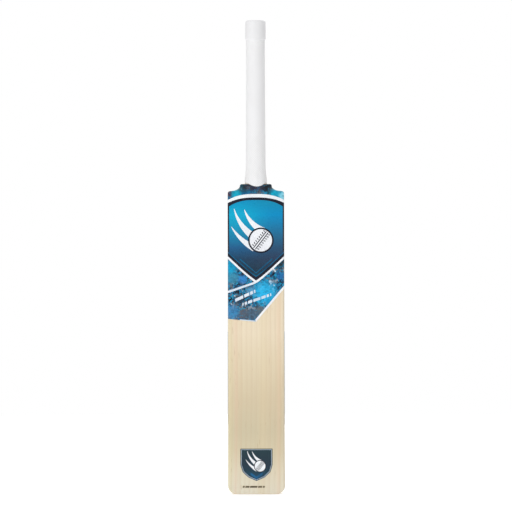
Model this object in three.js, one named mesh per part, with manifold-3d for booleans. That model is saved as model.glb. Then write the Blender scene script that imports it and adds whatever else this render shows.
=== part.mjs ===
// A full-size cricket bat standing on its toe: a willow blade, a cane handle let into it by a V splice, the
// twine and rubber grip round the handle, and the vinyl stickers on the blade. Millimetres. +Z runs up the
// handle and -Y is the way the hitting face looks.
import * as THREE from "three";
import Module from "manifold-3d";

const wasm = await Module();
wasm.setup();

// Heights
const HANDLE_TOP = 870;
const NECK_TOP = 569.5;
const SPLICE_TIP = 420;

// Blade
const HALF_WIDTH = 52;
const TOE_CORNER = 16;
const FACE_Y = -24.6;
const BOW = 4.5;
const BOW_CENTRE = 280;
const CROWN = 1.2;
const NECK_CARVE = 0.014;
const RIDGE_ROUNDING = 0.12;
const NECK_ROUNDING = 0.4;
const HOLLOW = 1.6;
const RIM_END = 3;
const RIM_FRONT = 4;
const RIM_BACK = 7;

// Splice
const SPLICE_TIP_HALF = 1.5;
const SPLICE_SLOPE = 0.105;
const SPLICE_GLUE = 0.3;

// Handle: four slabs of cane, three strips to a slab, a rubber spring between each slab and the next
const HANDLE_Y = -12.7;
const SPRING_PITCH = 7.2;
const SPRING_HALF = 0.8;
const SPRING_TOP = 869.5;
const STRIP_HALF = 4.75;
const GLUE_LINE = 0.1;

// Twine and grip, measured outwards from the bare cane
const TWINE_IN = 0.25;
const TWINE_OUT = 1.05;
const TWINE_BOTTOM = 572;
const TWINE_TOP = 865.5;
const GRIP_IN = 1.3;
const GRIP_OUT = 3.3;
const GRIP_TOP = 869.4;
const GRIP_LIP = 3.4;
const COLLAR_BOTTOM = 835;
const COLLAR_OUT = 1.6;
const COLLAR_ROUND = 4.5;
const GRIP_RIM = 569.8;
const GRIP_DIP = 5;
const GRIP_DIP_HALF = 14.5;

// Stickers, measured outwards from the wood
const STICKER_IN = 0.25;
const STICKER_OUT = 0.6;
const STICKER_CLEARANCE = 0.95;
const FACE_STICKER = { left: 322, bottom: 316.5, right: 378 };
const BADGE = { half: 29.4, bottom: 24.4, chin: 15, cheek: 31, jaw: 25.5, side: 41, temple: 54, top: 83.5 };
const LABEL = { left: -27, right: 17, bottom: 11.8, top: 16.6 };
const BACK_STICKER = { half: 36, bottom: 262, point: 30, top: 398 };
const EDGE_STICKER = { front: -18, back: -1, bottom: 128, top: 298 };
const FAR = 90;

// Smooth curve through [position, value] stations that never overshoots them.
function through(stations) {
  const last = stations.length - 1;
  const slopes = [];
  for (let i = 0; i < last; i++) {
    const [z0, v0] = stations[i];
    const [z1, v1] = stations[i + 1];
    slopes.push((v1 - v0) / (z1 - z0));
  }
  const tangents = stations.map((_, i) => {
    const before = slopes[Math.max(i - 1, 0)];
    const after = slopes[Math.min(i, last - 1)];
    return before * after > 0 ? (2 * before * after) / (before + after) : 0;
  });
  return (z) => {
    if (z <= stations[0][0]) return stations[0][1];
    if (z >= stations[last][0]) return stations[last][1];
    const i = stations.findIndex(([at]) => at > z) - 1;
    const span = stations[i + 1][0] - stations[i][0];
    const t = (z - stations[i][0]) / span;
    const from = stations[i][1] * (1 + 2 * t) + tangents[i] * span * t;
    const to =
      stations[i + 1][1] * (3 - 2 * t) + tangents[i + 1] * span * (t - 1);
    return from * (1 - t) ** 2 + to * t ** 2;
  };
}

// Half width of the blade up its sides, over the shoulders and up the neck.
const sideHalf = through([
  [20, HALF_WIDTH + 0.5],
  [120, HALF_WIDTH],
  [545, 51.8],
  [552.5, 51.6],
  [554.6, 50.9],
  [555.7, 49.8],
  [556.4, 47.5],
  [557.2, 41],
  [558, 38],
  [559.2, 35],
  [560.9, 32.4],
  [562.2, 31],
  [563.8, 30],
  [565.8, 29.4],
  [567.5, 29.1],
  [568.8, 28],
  [NECK_TOP, 26.2],
]);

// How far the ridge of the back stands behind the deepest part of the face.
const spineDepth = through([
  [0, 27],
  [25, 32],
  [60, 39],
  [120, 49],
  [195, 57],
  [300, 49],
  [400, 40],
  [480, 33.8],
  [540, 29.6],
  [NECK_TOP, 28.2],
]);

const edgeThickness = through([
  [0, 23.5],
  [25, 26.5],
  [60, 30],
  [120, 34.5],
  [195, 37],
  [300, 34],
  [400, 28],
  [480, 23],
  [540, 20],
  [NECK_TOP, 20.5],
]);

// Half width over which the back falls away from its ridge.
const flankHalf = through([
  [520, HALF_WIDTH],
  [NECK_TOP, 40],
]);

// Bare cane above the splice.
const caneHalfWidth = through([
  [NECK_TOP, 17.1],
  [577, 17.1],
  [585, 16.1],
  [595, 15.2],
  [612, 14.8],
  [640, 14.6],
  [700, 14.3],
  [770, 14],
  [HANDLE_TOP, 13.9],
]);
const caneHalfDepth = through([
  [NECK_TOP, 16.3],
  [600, 15.4],
  [700, 15],
  [HANDLE_TOP, 14.9],
]);

function halfWidth(z) {
  const below = Math.min(Math.max(TOE_CORNER - z, 0), TOE_CORNER);
  return sideHalf(z) - TOE_CORNER + Math.sqrt(TOE_CORNER ** 2 - below ** 2);
}

// Half width of the blade grown outwards all round by this much.
function grownHalfWidth(z, grow) {
  if (grow === 0) return halfWidth(z);
  const STEPS = 12;
  let widest = 0;
  for (let i = -STEPS; i <= STEPS; i++) {
    const up = (grow * i) / STEPS;
    const at = Math.max(z + up, 0);
    widest = Math.max(widest, halfWidth(at) + Math.sqrt(grow ** 2 - up ** 2));
  }
  return widest;
}

// Right-hand half of the blade's outline, from the middle of the toe to well above the neck.
function outlinePoints() {
  const points = [[0, 0]];
  for (let i = 0; i <= 6; i++) {
    const angle = (Math.PI * i) / 12;
    const z = TOE_CORNER * (1 - Math.cos(angle));
    points.push([halfWidth(z), z]);
  }
  for (let z = 50; z < 545; z += 50) points.push([halfWidth(z), z]);
  for (let z = 545; z < NECK_TOP; z += 0.5) points.push([halfWidth(z), z]);
  points.push([halfWidth(NECK_TOP), NECK_TOP + 20]);
  return points;
}

const OUTLINE = outlinePoints();

// Distance in from the outline, negative outside it.
function depthInside(x, z) {
  let nearest = Infinity;
  for (let i = 1; i < OUTLINE.length; i++) {
    const [x0, z0] = OUTLINE[i - 1];
    const dx = OUTLINE[i][0] - x0;
    const dz = OUTLINE[i][1] - z0;
    const along = ((x - x0) * dx + (z - z0) * dz) / (dx * dx + dz * dz);
    const t = THREE.MathUtils.clamp(along, 0, 1);
    nearest = Math.min(
      nearest,
      Math.hypot(x - x0 - t * dx, z - z0 - t * dz),
    );
  }
  return x <= halfWidth(z) ? nearest : -nearest;
}

// Middle line of the hitting face, bowed along its length.
function bowY(z) {
  return FACE_Y - BOW * ((z - BOW_CENTRE) / BOW_CENTRE) ** 2;
}

// The hitting face: slightly crowned across, and carved round at the neck.
function faceY(x, z) {
  const carve = NECK_CARVE * THREE.MathUtils.smoothstep(z, 555, 568);
  return bowY(z) + CROWN * (x / HALF_WIDTH) ** 2 + carve * x * x;
}

// The back: a rounded ridge with flanks that fall in a hollow to the edges.
function backY(x, z) {
  const neck = THREE.MathUtils.smoothstep(z, 480, NECK_TOP);
  const rounding = THREE.MathUtils.lerp(RIDGE_ROUNDING, NECK_ROUNDING, neck);
  const across = Math.min(Math.abs(x) / flankHalf(z), 1);
  const fall = Math.hypot(across, rounding) - rounding;
  const full = Math.hypot(1, rounding) - rounding;
  const edge = bowY(z) + CROWN + edgeThickness(z);
  return edge + (FACE_Y + spineDepth(z) - edge) * (1 - fall / full) ** HOLLOW;
}

// How far a rim of this radius draws a surface in, this far in from the outline.
function rimInset(inside, radius) {
  const near = THREE.MathUtils.clamp(radius - inside, 0, radius);
  return radius - Math.sqrt(radius ** 2 - near ** 2);
}

// Rim radius, smaller at the toe and on the shoulders than along the edges.
function rimRadius(z, along) {
  const fromEnd = Math.min(
    THREE.MathUtils.smoothstep(z, 3, 40),
    1 - THREE.MathUtils.smoothstep(z, 515, 553),
  );
  return THREE.MathUtils.lerp(RIM_END, along, fromEnd);
}

// One level section of the blade as points going round it, grown outwards by this much.
function bladeSection(z, grow) {
  const half = grownHalfWidth(z, grow);
  const surface = (radius, shares, y, side) => {
    const rim = radius + grow;
    const right = [0, 0.1, 0.4, 1].map((step) => half - step * rim);
    right.push(...shares.map((share) => share * (half - rim)));
    const left = right.slice(0, -1).map((x) => -x);
    return [...left, ...right.reverse()].map((x) => {
      const inside = depthInside(Math.abs(x), z) + grow;
      return new THREE.Vector3(x, y(x, z) + side * (grow - rimInset(inside, rim)), z);
    });
  };
  const front = surface(rimRadius(z, RIM_FRONT), [0.8, 0.6, 0.4, 0.2, 0], faceY, -1);
  const shares = [0.8, 0.6, 0.4, 0.22, 0.1, 0];
  const back = surface(rimRadius(z, RIM_BACK), shares, backY, 1);
  return [...front, ...back.reverse()];
}

// Oval section of the handle at height z, this far outside the bare cane.
function handleSection(z, out, shape = z) {
  const POINTS = 32;
  const loop = [];
  for (let i = 0; i < POINTS; i++) {
    const angle = (2 * Math.PI * i) / POINTS;
    const x = (caneHalfWidth(shape) + out) * Math.cos(angle);
    const y = HANDLE_Y + (caneHalfDepth(shape) + out) * Math.sin(angle);
    loop.push(new THREE.Vector3(x, y, z));
  }
  return loop;
}

function solid(points, triangles) {
  const vertProperties = new Float32Array(points.flatMap((p) => [p.x, p.y, p.z]));
  const triVerts = new Uint32Array(triangles.flat());
  return new wasm.Manifold(
    new wasm.Mesh({ numProp: 3, vertProperties, triVerts }),
  );
}

// Triangles that fill a flat loop, wound the same way round as the loop.
function fill(flat) {
  const faces = THREE.ShapeUtils.triangulateShape(flat, []);
  const first = faces[0].map((i) => flat[i]);
  const same = THREE.ShapeUtils.area(first) * THREE.ShapeUtils.area(flat) > 0;
  return same ? faces : faces.map((face) => face.reverse());
}

// Closed body through level sections, each with the same number of points, going anticlockwise from above.
function loft(sections) {
  const count = sections[0].length;
  const triangles = [];
  for (let level = 0; level + 1 < sections.length; level++) {
    for (let i = 0; i < count; i++) {
      const a = level * count + i;
      const b = level * count + ((i + 1) % count);
      triangles.push([a, b, b + count], [a, b + count, a + count]);
    }
  }
  for (const level of [0, sections.length - 1]) {
    const flat = sections[level].map((p) => new THREE.Vector2(p.x, p.y));
    for (const face of fill(flat)) {
      const corners = face.map((i) => level * count + i);
      triangles.push(level === 0 ? corners.reverse() : corners);
    }
  }
  return solid(sections.flat(), triangles);
}

// Straight-sided body: a flat outline, anticlockwise as [u, v], swept from one distance to another.
function prism(outline, from, to, place) {
  const count = outline.length;
  const flat = outline.map(([u, v]) => new THREE.Vector2(u, v));
  const points = [from, to].flatMap((w) => outline.map(([u, v]) => place(u, v, w)));
  const triangles = [];
  for (let i = 0; i < count; i++) {
    const next = (i + 1) % count;
    triangles.push([i, next, next + count], [i, next + count, i + count]);
  }
  for (const face of fill(flat)) {
    triangles.push([...face].reverse(), face.map((i) => i + count));
  }
  return solid(points, triangles);
}

// Outline in x and z, swept towards the back; outline in y and z, swept to the right; and a plain box.
const acrossDepth = (outline, from, to) =>
  prism([...outline].reverse(), from, to, (x, z, y) => new THREE.Vector3(x, y, z));
const acrossWidth = (outline, from, to) =>
  prism(outline, from, to, (y, z, x) => new THREE.Vector3(x, y, z));
const box = (x0, x1, y0, y1, z0, z1) =>
  acrossWidth([[y0, z0], [y1, z0], [y1, z1], [y0, z1]], x0, x1);

const BLADE_LEVELS = [
  0, 0.3, 1, 2, 3.5, 5.5, 8, 11.5, 16, 22, 32, 48, 70, 95, 125, 160, 200, 245, 300, 350, 400, 450, 500, 530,
  545, 550, 552.5, 553.6, 554.6, 555.7, 556.4, 556.8, 557.2, 558, 559.2, 560, 560.9, 562.2, 563.8, 565.8,
  567.5, 568.6, NECK_TOP,
];

const bladeSolid = (grow) => loft(BLADE_LEVELS.map((z) => bladeSection(z, grow)));
const WOOD = bladeSolid(0);
const VINYL = bladeSolid(STICKER_OUT).subtract(bladeSolid(STICKER_IN)).subtract(WOOD);

// Full-depth wedge of the splice, wider by the gap on each side.
function spliceWedge(gap) {
  const half = (z) => SPLICE_TIP_HALF + SPLICE_SLOPE * (z - SPLICE_TIP) + gap;
  const bottom = SPLICE_TIP - gap;
  const top = NECK_TOP + (gap > 0 ? 5 : 0);
  const outline = [
    [-half(SPLICE_TIP), bottom],
    [half(SPLICE_TIP), bottom],
    [half(top), top],
    [-half(top), top],
  ];
  return acrossDepth(outline, -FAR, FAR);
}

const CANE_LEVELS = [568.6, 576, 584, 590, 597, 612, 633, 665, 700, 770, 820, HANDLE_TOP];

function wholeHandle() {
  const turned = loft(CANE_LEVELS.map((z) => handleSection(z, 0, Math.max(z, NECK_TOP))));
  return spliceWedge(0).intersect(WOOD).add(turned);
}

const HANDLE = wholeHandle();

function blade() {
  return WOOD.subtract(spliceWedge(SPLICE_GLUE));
}

function caneStrip(slab, column) {
  const gap = SPRING_HALF + GLUE_LINE;
  const y0 = slab === 0 ? -FAR : HANDLE_Y + (slab - 2) * SPRING_PITCH + gap;
  const y1 = slab === 3 ? FAR : HANDLE_Y + (slab - 1) * SPRING_PITCH - gap;
  const x0 = column === 0 ? -FAR : (2 * column - 3) * STRIP_HALF + GLUE_LINE;
  const x1 = column === 2 ? FAR : (2 * column - 1) * STRIP_HALF - GLUE_LINE;
  return HANDLE.intersect(box(x0, x1, y0, y1, 0, HANDLE_TOP + 10));
}

function spring(index) {
  const y = HANDLE_Y + (index - 1) * SPRING_PITCH;
  const layer = box(-FAR, FAR, y - SPRING_HALF, y + SPRING_HALF, 0, SPRING_TOP);
  return HANDLE.intersect(layer);
}

function twineSleeve() {
  const inside = CANE_LEVELS.filter((z) => z > TWINE_BOTTOM && z < TWINE_TOP);
  const levels = [TWINE_BOTTOM, ...inside, TWINE_TOP];
  const outer = loft(levels.map((z) => handleSection(z, TWINE_OUT)));
  const first = handleSection(TWINE_BOTTOM - 1, TWINE_IN, TWINE_BOTTOM);
  const last = handleSection(TWINE_TOP + 1, TWINE_IN, TWINE_TOP);
  const middle = levels.map((z) => handleSection(z, TWINE_IN));
  return outer.subtract(loft([first, ...middle, last]));
}

// The grip before its lower end is trimmed, with a thicker rounded collar at the top.
function gripOuter() {
  const sections = [560, 568, 576, 584, 590, 597, 612, 633, 665, 700, 770, COLLAR_BOTTOM - 1.2]
    .map((z) => handleSection(z, GRIP_OUT, Math.max(z, NECK_TOP)));
  for (const [z, out] of [[COLLAR_BOTTOM, 0.55], [COLLAR_BOTTOM + 1.4, 1]]) {
    sections.push(handleSection(z, GRIP_OUT + out * COLLAR_OUT));
  }
  for (let i = 0; i <= 4; i++) {
    const angle = (Math.PI * i) / 8;
    const z = GRIP_TOP - COLLAR_ROUND * (1 - Math.sin(angle));
    const drawn = COLLAR_ROUND * (1 - Math.cos(angle)) * 0.8;
    sections.push(handleSection(z, GRIP_OUT + COLLAR_OUT - drawn));
  }
  return loft(sections);
}

function gripBore() {
  const levels = [568, 576, 584, 590, 597, 612, 633, 665, 700, 770, GRIP_TOP - GRIP_LIP];
  const wide = levels.map((z) => handleSection(z, GRIP_IN, Math.max(z, NECK_TOP)));
  wide.unshift(handleSection(555, GRIP_IN, NECK_TOP));
  const lip = [GRIP_TOP - GRIP_LIP - 1, HANDLE_TOP + 5].map((z) => handleSection(z, TWINE_IN, HANDLE_TOP));
  return loft(wide).add(loft(lip));
}

// Everything below the grip's lower end, which dips in the middle of the front and of the back.
function belowGrip() {
  const STEPS = 6;
  const outline = [[-FAR, 500], [FAR, 500], [FAR, GRIP_RIM]];
  for (let i = STEPS; i >= -STEPS; i--) {
    const share = i / STEPS;
    outline.push([share * GRIP_DIP_HALF, GRIP_RIM - GRIP_DIP * (1 - share * share)]);
  }
  outline.push([-FAR, GRIP_RIM]);
  return acrossDepth(outline, -FAR, FAR);
}

function grip() {
  return gripOuter().subtract(gripBore()).subtract(belowGrip()).subtract(bladeSolid(STICKER_CLEARANCE));
}

// Covers the whole upper face, out to the rims of the edges and shoulders.
function faceSticker() {
  const { left, bottom, right } = FACE_STICKER;
  const outline = [
    [-FAR, left],
    [-HALF_WIDTH, left],
    [0, bottom],
    [HALF_WIDTH, right],
    [FAR, right + 40],
    [FAR, NECK_TOP - 0.3],
    [-FAR, NECK_TOP - 0.3],
  ];
  const wrap = [
    [-FAR, 300],
    [FACE_Y + 4, 300],
    [FACE_Y + 2, 480],
    [FACE_Y + 0.5, 545],
    [FACE_Y + 3.5, 556],
    [FACE_Y + 11, 565],
    [FACE_Y + 13, 575],
    [-FAR, 575],
  ];
  return VINYL.intersect(acrossDepth(outline, -FAR, FAR)).intersect(acrossWidth(wrap, -FAR, FAR));
}

function toeBadge() {
  const { half, bottom, chin, cheek, jaw, side, temple, top } = BADGE;
  const right = [[chin, cheek], [jaw, side], [half, temple], [half, top]];
  const left = right.map(([x, z]) => [-x, z]).reverse();
  return VINYL.intersect(acrossDepth([[0, bottom], ...right, ...left], -FAR, FACE_Y + 2));
}

function toeLabel() {
  return VINYL.intersect(box(LABEL.left, LABEL.right, -FAR, FACE_Y + 2, LABEL.bottom, LABEL.top));
}

function backSticker() {
  const { half, bottom, point, top } = BACK_STICKER;
  const outline = [[0, bottom], [half, bottom + point], [half, top], [-half, top], [-half, bottom + point]];
  return VINYL.intersect(acrossDepth(outline, -10, FAR));
}

function edgeSticker(side) {
  const { front, back, bottom, top } = EDGE_STICKER;
  const [x0, x1] = [side * 48, side * 60].sort((a, b) => a - b);
  return VINYL.intersect(box(x0, x1, front, back, bottom, top));
}

function finish(color, roughness) {
  return new THREE.MeshStandardMaterial({ color, roughness, metalness: 0 });
}

const WILLOW = finish(0xe3d2ae, 0.55);
const CANE = finish(0xc9a566, 0.6);
const RUBBER = finish(0x2b2b2b, 0.85);
const TWINE = finish(0xd8c9a8, 0.8);
const GRIP = finish(0xf1f1f1, 0.7);
const STICKER = finish(0x1478b4, 0.3);

const group = new THREE.Group();
group.name = "cricket_bat";

function add(name, body, material) {
  const mesh = body.getMesh();
  const geometry = new THREE.BufferGeometry();
  geometry.setAttribute("position", new THREE.BufferAttribute(new Float32Array(mesh.vertProperties), 3));
  geometry.setIndex(new THREE.BufferAttribute(new Uint32Array(mesh.triVerts), 1));
  const part = new THREE.Mesh(geometry, material);
  part.name = name;
  group.add(part);
}

add("blade", blade(), WILLOW);
for (let slab = 0; slab < 4; slab++) {
  for (let column = 0; column < 3; column++) {
    const row = ["front_outer", "front_inner", "back_inner", "back_outer"][slab];
    const place = ["left", "middle", "right"][column];
    add(`cane_${row}_${place}`, caneStrip(slab, column), CANE);
  }
}
["front", "middle", "back"].forEach((place, i) => add(`spring_${place}`, spring(i), RUBBER));
add("handle_twine", twineSleeve(), TWINE);
add("grip", grip(), GRIP);
add("face_sticker", faceSticker(), STICKER);
add("toe_badge", toeBadge(), STICKER);
add("toe_label", toeLabel(), STICKER);
add("back_sticker", backSticker(), STICKER);
add("edge_sticker_left", edgeSticker(-1), STICKER);
add("edge_sticker_right", edgeSticker(1), STICKER);

export default group;
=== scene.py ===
"""The looks of a cricket bat: willow blade, spliced cane handle, white grip and printed stickers.

The surfaces are the ones the CAD model uses, made again with far more points, so every piece here
lies where its CAD node does. Lengths are in millimetres until a mesh is made.
"""

import math
from functools import partial

import bpy
import numpy as np
from numpy import arange, clip, concatenate, linspace, sqrt, stack, where
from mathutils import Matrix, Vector
from mathutils.geometry import delaunay_2d_cdt


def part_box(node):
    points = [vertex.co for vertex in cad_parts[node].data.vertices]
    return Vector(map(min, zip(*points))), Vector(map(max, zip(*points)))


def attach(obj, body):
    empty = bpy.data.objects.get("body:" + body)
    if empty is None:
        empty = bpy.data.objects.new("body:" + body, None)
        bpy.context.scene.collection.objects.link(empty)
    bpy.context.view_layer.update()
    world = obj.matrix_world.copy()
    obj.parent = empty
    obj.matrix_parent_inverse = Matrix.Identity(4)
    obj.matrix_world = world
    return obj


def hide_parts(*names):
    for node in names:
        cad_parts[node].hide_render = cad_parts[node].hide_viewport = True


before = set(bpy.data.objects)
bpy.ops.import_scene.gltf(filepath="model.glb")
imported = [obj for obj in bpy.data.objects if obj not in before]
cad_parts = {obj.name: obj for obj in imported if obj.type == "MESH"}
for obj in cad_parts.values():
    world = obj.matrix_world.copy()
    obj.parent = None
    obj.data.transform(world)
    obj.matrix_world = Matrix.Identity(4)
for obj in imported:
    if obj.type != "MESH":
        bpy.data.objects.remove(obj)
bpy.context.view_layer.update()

MM = 0.001

# Sizes that the frame gives
HANDLE_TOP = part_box("cane_back_inner_middle")[1][2] / MM
NECK_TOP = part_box("blade")[1][2] / MM
SPLICE_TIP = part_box("cane_back_inner_middle")[0][2] / MM
GRIP_TOP = HANDLE_TOP + 0.2
SPRING_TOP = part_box("spring_middle")[1][2] / MM

# Blade
HALF_WIDTH = 52
TOE_CORNER = 16
FACE_Y = -24.6
BOW = 4.5
BOW_CENTRE = 280
CROWN = 1.2
NECK_CARVE = 0.014
RIDGE_ROUNDING = 0.12
NECK_ROUNDING = 0.4
HOLLOW = 1.6
RIM_END = 3
RIM_FRONT = 4
RIM_BACK = 7
SHOULDER_START = 545

# Splice and handle
SPLICE_TIP_HALF = 1.5
SPLICE_SLOPE = 0.105
SPLICE_GLUE = 0.12
HANDLE_Y = -12.7
SPRING_PITCH = 7.2
SPRING_HALF = 0.8
STRIP_HALF = 4.75
GLUE_LINE = 0.06
LIP_IN = 0.25
GRIP_IN = 1.3
GRIP_OUT = 3.3
GRIP_LIP = 3.4
COLLAR_BOTTOM = 835
COLLAR_OUT = 1.6
COLLAR_ROUND = 4.5
COLLAR_STEP = 0.8
GRIP_RIM = 569.8
GRIP_DIP = 5
GRIP_DIP_X = 1.5
GRIP_DIP_HALF = 14.5
GRIP_WALL = 0.5

# Heights above the wood of the printed film and of the raised print on it
FILM_LOW = 0.02
FILM = 0.24
PRINT = 0.38
PRINT_TOP = 0.52


# ---- the bat's surfaces


def through(*stations):
    """Smooth curve through (position, value) stations, without overshoot."""
    z, v = np.array(stations, float).T
    slopes = np.diff(v) / np.diff(z)
    before = concatenate([slopes[:1], slopes])
    after = concatenate([slopes, slopes[-1:]])
    product = before * after
    total = where(product > 0, before + after, 1)
    tangents = where(product > 0, 2 * product / total, 0)

    def curve(at):
        at = clip(at, z[0], z[-1])
        i = clip(np.searchsorted(z, at, "right") - 1, 0, len(z) - 2)
        span = z[i + 1] - z[i]
        t = (at - z[i]) / span
        start = v[i] * (1 + 2 * t) + tangents[i] * span * t
        end = v[i + 1] * (3 - 2 * t) + tangents[i + 1] * span * (t - 1)
        return start * (1 - t) ** 2 + end * t**2

    return curve


def smoothstep(low, high, value):
    t = clip((value - low) / (high - low), 0, 1)
    return t * t * (3 - 2 * t)


def lerp(a, b, t):
    return a + (b - a) * t


side_half = through(
    (20, HALF_WIDTH + 0.5), (120, HALF_WIDTH), (545, 51.8), (552.5, 51.6), (554.6, 50.9),
    (555.7, 49.8), (556.4, 47.5), (557.2, 41), (558, 38), (559.2, 35), (560.9, 32.4), (562.2, 31),
    (563.8, 30), (565.8, 29.4), (567.5, 29.1), (568.8, 28), (NECK_TOP, 26.2),
)
spine_depth = through(
    (0, 27), (25, 32), (60, 39), (120, 49), (195, 57), (300, 49), (400, 40), (480, 33.8),
    (540, 29.6), (NECK_TOP, 28.2),
)
edge_thickness = through(
    (0, 23.5), (25, 26.5), (60, 30), (120, 34.5), (195, 37), (300, 34), (400, 28), (480, 23),
    (540, 20), (NECK_TOP, 20.5),
)
flank_half = through((520, HALF_WIDTH), (NECK_TOP, 40))
cane_half_width = through(
    (NECK_TOP, 17.1), (577, 17.1), (585, 16.1), (595, 15.2), (612, 14.8), (640, 14.6), (700, 14.3),
    (770, 14), (HANDLE_TOP, 13.9),
)
cane_half_depth = through((NECK_TOP, 16.3), (600, 15.4), (700, 15), (HANDLE_TOP, 14.9))


def half_width(z):
    below = clip(TOE_CORNER - z, 0, TOE_CORNER)
    return side_half(z) - TOE_CORNER + sqrt(TOE_CORNER**2 - below**2)


def bow_y(z):
    return FACE_Y - BOW * ((z - BOW_CENTRE) / BOW_CENTRE) ** 2


def face_y(x, z):
    """The hitting face: slightly crowned across, and carved round at the neck."""
    carve = NECK_CARVE * smoothstep(555, 568, z)
    return bow_y(z) + CROWN * (x / HALF_WIDTH) ** 2 + carve * x * x


def back_y(x, z):
    """The back: a rounded ridge with flanks that fall in a hollow to the edges."""
    rounding = lerp(RIDGE_ROUNDING, NECK_ROUNDING, smoothstep(480, NECK_TOP, z))
    across = np.minimum(np.abs(x) / flank_half(z), 1)
    fall = np.hypot(across, rounding) - rounding
    full = np.hypot(1, rounding) - rounding
    edge = bow_y(z) + CROWN + edge_thickness(z)
    return edge + (FACE_Y + spine_depth(z) - edge) * (1 - fall / full) ** HOLLOW


def resampled(points, spacing):
    """Points at even steps along a line of points."""
    along = concatenate([[0], np.cumsum(np.hypot(*np.diff(points, axis=0).T))])
    steps = linspace(0, along[-1], int(along[-1] / spacing) + 1)
    return stack([np.interp(steps, along, column) for column in points.T], 1)


def outline_points():
    """Right-hand half of the blade's outline, from mid-toe to well above the neck."""
    corner = TOE_CORNER * (1 - np.cos(linspace(0, math.pi / 2, 41)))
    straight = arange(40, SHOULDER_START, 20)
    shoulder = arange(SHOULDER_START, NECK_TOP + 0.02, 0.02)
    lower = [(0, 0), *zip(half_width(corner), corner), *zip(half_width(straight), straight)]
    upper = resampled(stack([half_width(shoulder), shoulder], 1), 0.4)
    return concatenate([lower, upper, [(half_width(NECK_TOP), NECK_TOP + 20)]])


OUTLINE = outline_points()


def depth_inside(x, z):
    """Distance in from the blade's outline, none outside it."""
    points = stack(np.broadcast_arrays(np.abs(x), z), -1)[..., None, :]
    steps = np.diff(OUTLINE, axis=0)
    t = ((points - OUTLINE[:-1]) * steps).sum(-1) / (steps**2).sum(-1)
    gaps = points - OUTLINE[:-1] - clip(t, 0, 1)[..., None] * steps
    nearest = np.hypot(gaps[..., 0], gaps[..., 1]).min(-1)
    return where(np.abs(x) <= half_width(z), nearest, 0)


def rim_inset(inside, radius):
    """How far a rim of this radius draws a surface back, this far inside the outline."""
    near = clip(radius - inside, 0, radius)
    return radius - sqrt(radius**2 - near**2)


def rim_radius(z, along):
    """Smaller at the toe and on the shoulders than along the edges."""
    from_end = np.minimum(smoothstep(3, 40, z), 1 - smoothstep(515, 552, z))
    return lerp(RIM_END, along, from_end)


def splice_half(z):
    return SPLICE_TIP_HALF + SPLICE_SLOPE * (z - SPLICE_TIP)


# ---- making pieces


def new_object(name, data):
    made = bpy.data.objects.new(name, data)
    bpy.context.scene.collection.objects.link(made)
    return made


def piece(name, points, faces, material, nodes, sharp_angle=35):
    """A mesh piece from points in millimetres, standing for these CAD nodes."""
    mesh = bpy.data.meshes.new(name)
    mesh.from_pydata([tuple(p) for p in np.asarray(points, float) * MM], [], faces)
    mesh.validate()
    mesh.materials.append(material)
    mesh.polygons.foreach_set("use_smooth", [True] * len(mesh.polygons))
    mesh.set_sharp_from_angle(angle=math.radians(sharp_angle))
    made = new_object(name, mesh)
    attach(made, "root")
    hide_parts(*nodes)


def ring_faces(rows, count, closed_rows=False):
    """Quads between loops of points, and back to the first loop if closed_rows."""
    faces = []
    for row in range(rows if closed_rows else rows - 1):
        a = row * count
        b = (row + 1) % rows * count
        for i in range(count):
            j = (i + 1) % count
            faces.append((a + i, a + j, b + j, b + i))
    return faces


def blade_columns(z):
    """Right-hand x positions over the front and the back, from middle to edge."""
    half = half_width(z)
    splice = max(splice_half(z), SPLICE_TIP_HALF) + SPLICE_GLUE
    angles = linspace(0, math.pi / 2, 9)
    columns = []
    for along, power, count in ((RIM_FRONT, 1, 12), (RIM_BACK, 1.5, 18)):
        rim = rim_radius(z, along)
        flat = half - rim
        inner = splice + (flat - splice) * linspace(0, 1, count) ** power
        columns.append(concatenate([[0], inner, flat + rim * np.sin(angles[1:])]))
    return columns


def blade_heights():
    spans = [
        (0, RIM_END, 8), (RIM_END, TOE_CORNER, 14), (TOE_CORNER, 50, 16), (50, SPLICE_TIP, 90),
        (SPLICE_TIP, 540, 40), (540, 554, 15), (554, 560, 41), (560, NECK_TOP, 34),
    ]
    return np.unique(concatenate([linspace(*span) for span in spans]))


def blade_section(z):
    front, back = blade_columns(z)
    front_y = face_y(front, z) + rim_inset(depth_inside(front, z), rim_radius(z, RIM_FRONT))
    back_edge = back_y(back, z) - rim_inset(depth_inside(back, z), rim_radius(z, RIM_BACK))
    right_front = stack([front, front_y, np.full_like(front, z)], 1)
    right_back = stack([back, back_edge, np.full_like(back, z)], 1)
    mirror = np.array([-1, 1, 1])
    loop = [right_front[:0:-1] * mirror, right_front, right_back[::-1], right_back[1:] * mirror]
    return concatenate(loop), len(front), len(back)


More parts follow.
